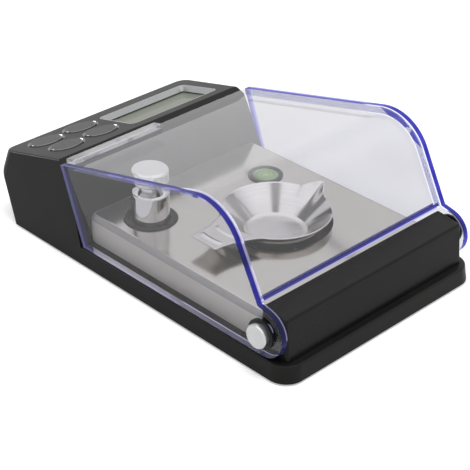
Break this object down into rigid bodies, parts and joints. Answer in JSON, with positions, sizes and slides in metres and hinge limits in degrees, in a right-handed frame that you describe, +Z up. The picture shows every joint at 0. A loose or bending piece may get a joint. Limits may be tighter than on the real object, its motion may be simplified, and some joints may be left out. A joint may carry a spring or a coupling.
{
  "type": "digital jewelry scale",
  "caption": "Pocket-size precision scale with a sloped display, push buttons, a steel deck, a spouted pan, a calibration weight and a hinged clear cover.",
  "frame": {"origin": "on the table under the centre of the object's box", "axes": "+Z up, -Y towards the user at the display end, +Y towards the hinge end, +X to the user's right, where the buttons are"},
  "size_m": [0.1094, 0.1656, 0.0585],
  "materials": {
    "black_abs": "fine spark texture",
    "black_gloss": "smooth moulded gloss",
    "button_black": "satin",
    "switch_black": "satin",
    "well_black": "satin",
    "foot_rubber": "matte",
    "strip_rubber": "matte",
    "brushed_deck": "fine brushed",
    "dish_steel": "polished",
    "pan_steel": "spun satin",
    "screw_steel": "plain",
    "contact_steel": "nickel plated",
    "weight_chrome": "mirror polish",
    "pin_aluminium": "satin turned",
    "cell_aluminium": "milled",
    "cell_wrap": "plain wrap",
    "board_green": "solder mask",
    "bezel_silver": "silver lacquer",
    "lcd_grey": "polarizer film",
    "backlight_white": "diffuser",
    "carrier_white": "plain",
    "ribbon_film": "polyimide film",
    "level_green": "clear, green fluid",
    "clear_acrylic": "clear with a blue edge"
  },
  "bodies": {
    "base": {"main_body": "black_abs", "bottom_plate": "black_abs", "hinge_bar": "black_gloss", "bottom_screws": "screw_steel", "rubber_feet": "foot_rubber", "batteries": "cell_wrap", "battery_contacts": "contact_steel", "main_board": "board_green", "board_screws": "screw_steel", "tact_switches": "switch_black", "lcd_bezel": "bezel_silver", "lcd_glass": "lcd_grey", "lcd_backlight": "backlight_white", "lcd_connector_strips": "strip_rubber", "steel_deck": "brushed_deck", "dish_well": "well_black", "weighing_dish": "dish_steel", "dish_carrier": "carrier_white", "carrier_screws": "screw_steel", "load_cell": "cell_aluminium", "load_cell_spacer": "cell_aluminium", "load_cell_screws": "screw_steel", "load_cell_ribbon": "ribbon_film", "weight_cup": "well_black", "level_cup": "well_black", "level_vial": "level_green", "hinge_bar_screws": "screw_steel", "hinge_pin_right": "pin_aluminium", "hinge_pin_left": "pin_aluminium", "hinge_washer_right": "well_black", "hinge_washer_left": "well_black"},
    "cover": {"cover_sheet": "clear_acrylic", "cover_side_right": "clear_acrylic", "cover_side_left": "clear_acrylic", "cover_lift_strip": "clear_acrylic"},
    "pan": {"weighing_pan": "pan_steel"},
    "weight": {"calibration_weight": "weight_chrome"},
    "door": {"battery_door": "black_abs"},
    "power_key": {"button_power": "button_black"},
    "mode_key": {"button_mode": "button_black"},
    "calibrate_key": {"button_calibrate": "button_black"},
    "tare_key": {"button_tare": "button_black"}
  },
  "joints": [
    {"name": "cover_hinge", "type": "hinge", "parent": "base", "child": "cover", "pos_m": [0, 0.0693, 0.0173], "axis": [-1, 0, 0], "range_deg": [0, 100]},
    {"name": "pan_lift", "type": "slide", "parent": "base", "child": "pan", "axis": [0, 0, 1], "range_m": [0, 0.018]},
    {"name": "weight_turn", "type": "hinge", "parent": "base", "child": "weight", "pos_m": [0.0294, -0.0134, 0.0181], "axis": [0, 0, 1], "continuous": true},
    {"name": "battery_door_slide", "type": "slide", "parent": "base", "child": "door", "axis": [0, -1, 0], "range_m": [0, 0.025]},
    {"name": "power_press", "type": "slide", "parent": "base", "child": "power_key", "axis": [0, 0.247, -0.969], "range_m": [0, 0.0006], "stiffness_N_per_m": 1500, "springref_m": -0.0003},
    {"name": "mode_press", "type": "slide", "parent": "base", "child": "mode_key", "axis": [0, 0.247, -0.969], "range_m": [0, 0.0006], "stiffness_N_per_m": 1500, "springref_m": -0.0003},
    {"name": "calibrate_press", "type": "slide", "parent": "base", "child": "calibrate_key", "axis": [0, 0.247, -0.969], "range_m": [0, 0.0006], "stiffness_N_per_m": 1500, "springref_m": -0.0003},
    {"name": "tare_press", "type": "slide", "parent": "base", "child": "tare_key", "axis": [0, 0.247, -0.969], "range_m": [0, 0.0006], "stiffness_N_per_m": 1500, "springref_m": -0.0003}
  ]
}
